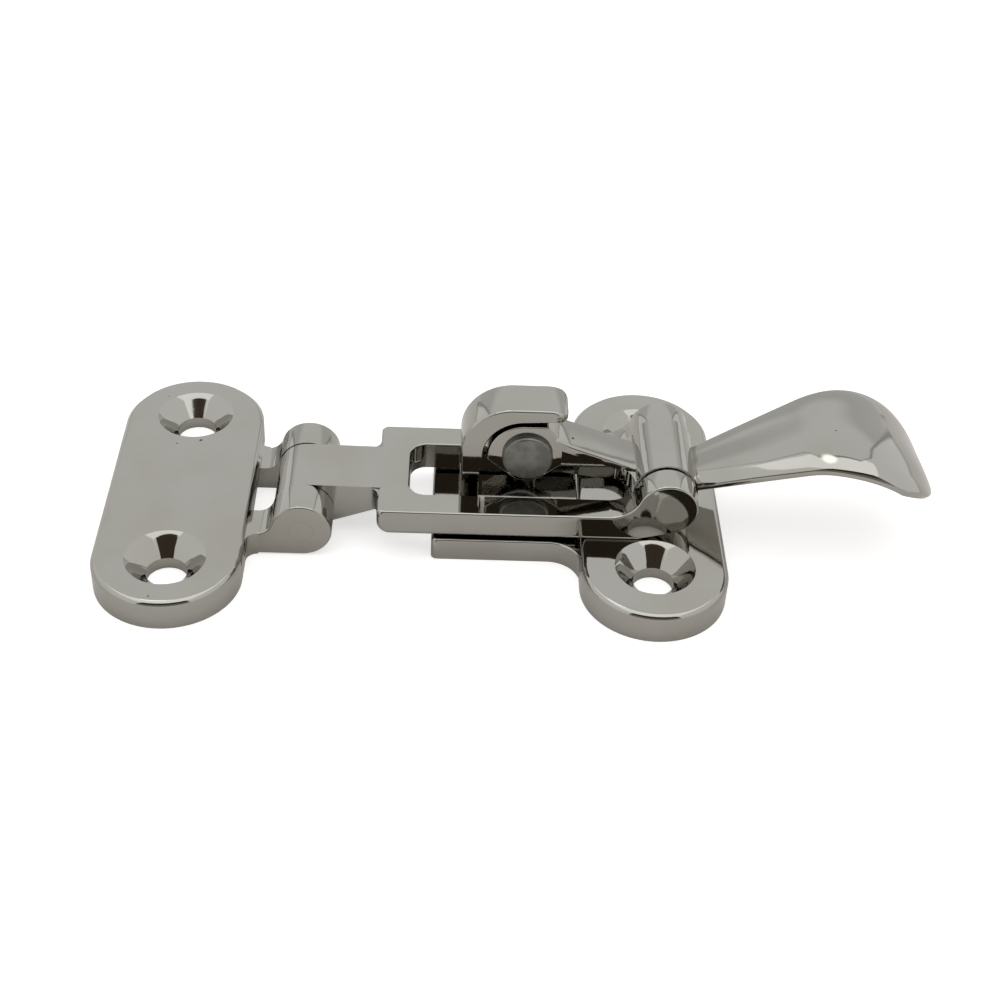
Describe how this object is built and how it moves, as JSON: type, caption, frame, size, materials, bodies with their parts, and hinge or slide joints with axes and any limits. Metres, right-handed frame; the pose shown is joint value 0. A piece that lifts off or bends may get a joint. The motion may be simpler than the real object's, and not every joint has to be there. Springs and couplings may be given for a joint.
{
  "type": "over centre toggle latch",
  "caption": "Over centre toggle latch: a lever with a cam nose pulls a hinged link frame down on to a hooked keeper plate.",
  "frame": {"origin": "middle of the keeper plate's two screw holes, on the mounting plane", "axes": "+X from the hinge plate to the tip of the handle, +Y along the plates, +Z away from the mounting plane"},
  "size_m": [0.1091, 0.048, 0.0198],
  "materials": {
    "polished_steel": "mirror polished stainless steel",
    "pin_steel": "dull ground pin ends"
  },
  "bodies": {
    "plates": {"hinge_plate": "polished_steel", "hinge_pin": "polished_steel", "keeper_hook": "polished_steel"},
    "link": {"link_frame": "polished_steel", "lever_pin": "polished_steel"},
    "lever": {"cam_lever": "polished_steel", "nose_pin": "pin_steel"}
  },
  "joints": [
    {"name": "link_swing", "type": "hinge", "parent": "plates", "child": "link", "pos_m": [-0.0458, 0, 0.004], "axis": [0, -1, 0], "range_deg": [0, 44]},
    {"name": "lever_throw", "type": "hinge", "parent": "link", "child": "lever", "pos_m": [0.0016, 0, 0.00915], "axis": [0, -1, 0], "range_deg": [0, 110]}
  ],
  "couplings": [
    {"joint": "lever_throw", "follows": "link_swing", "ratio": 2.5}
  ]
}
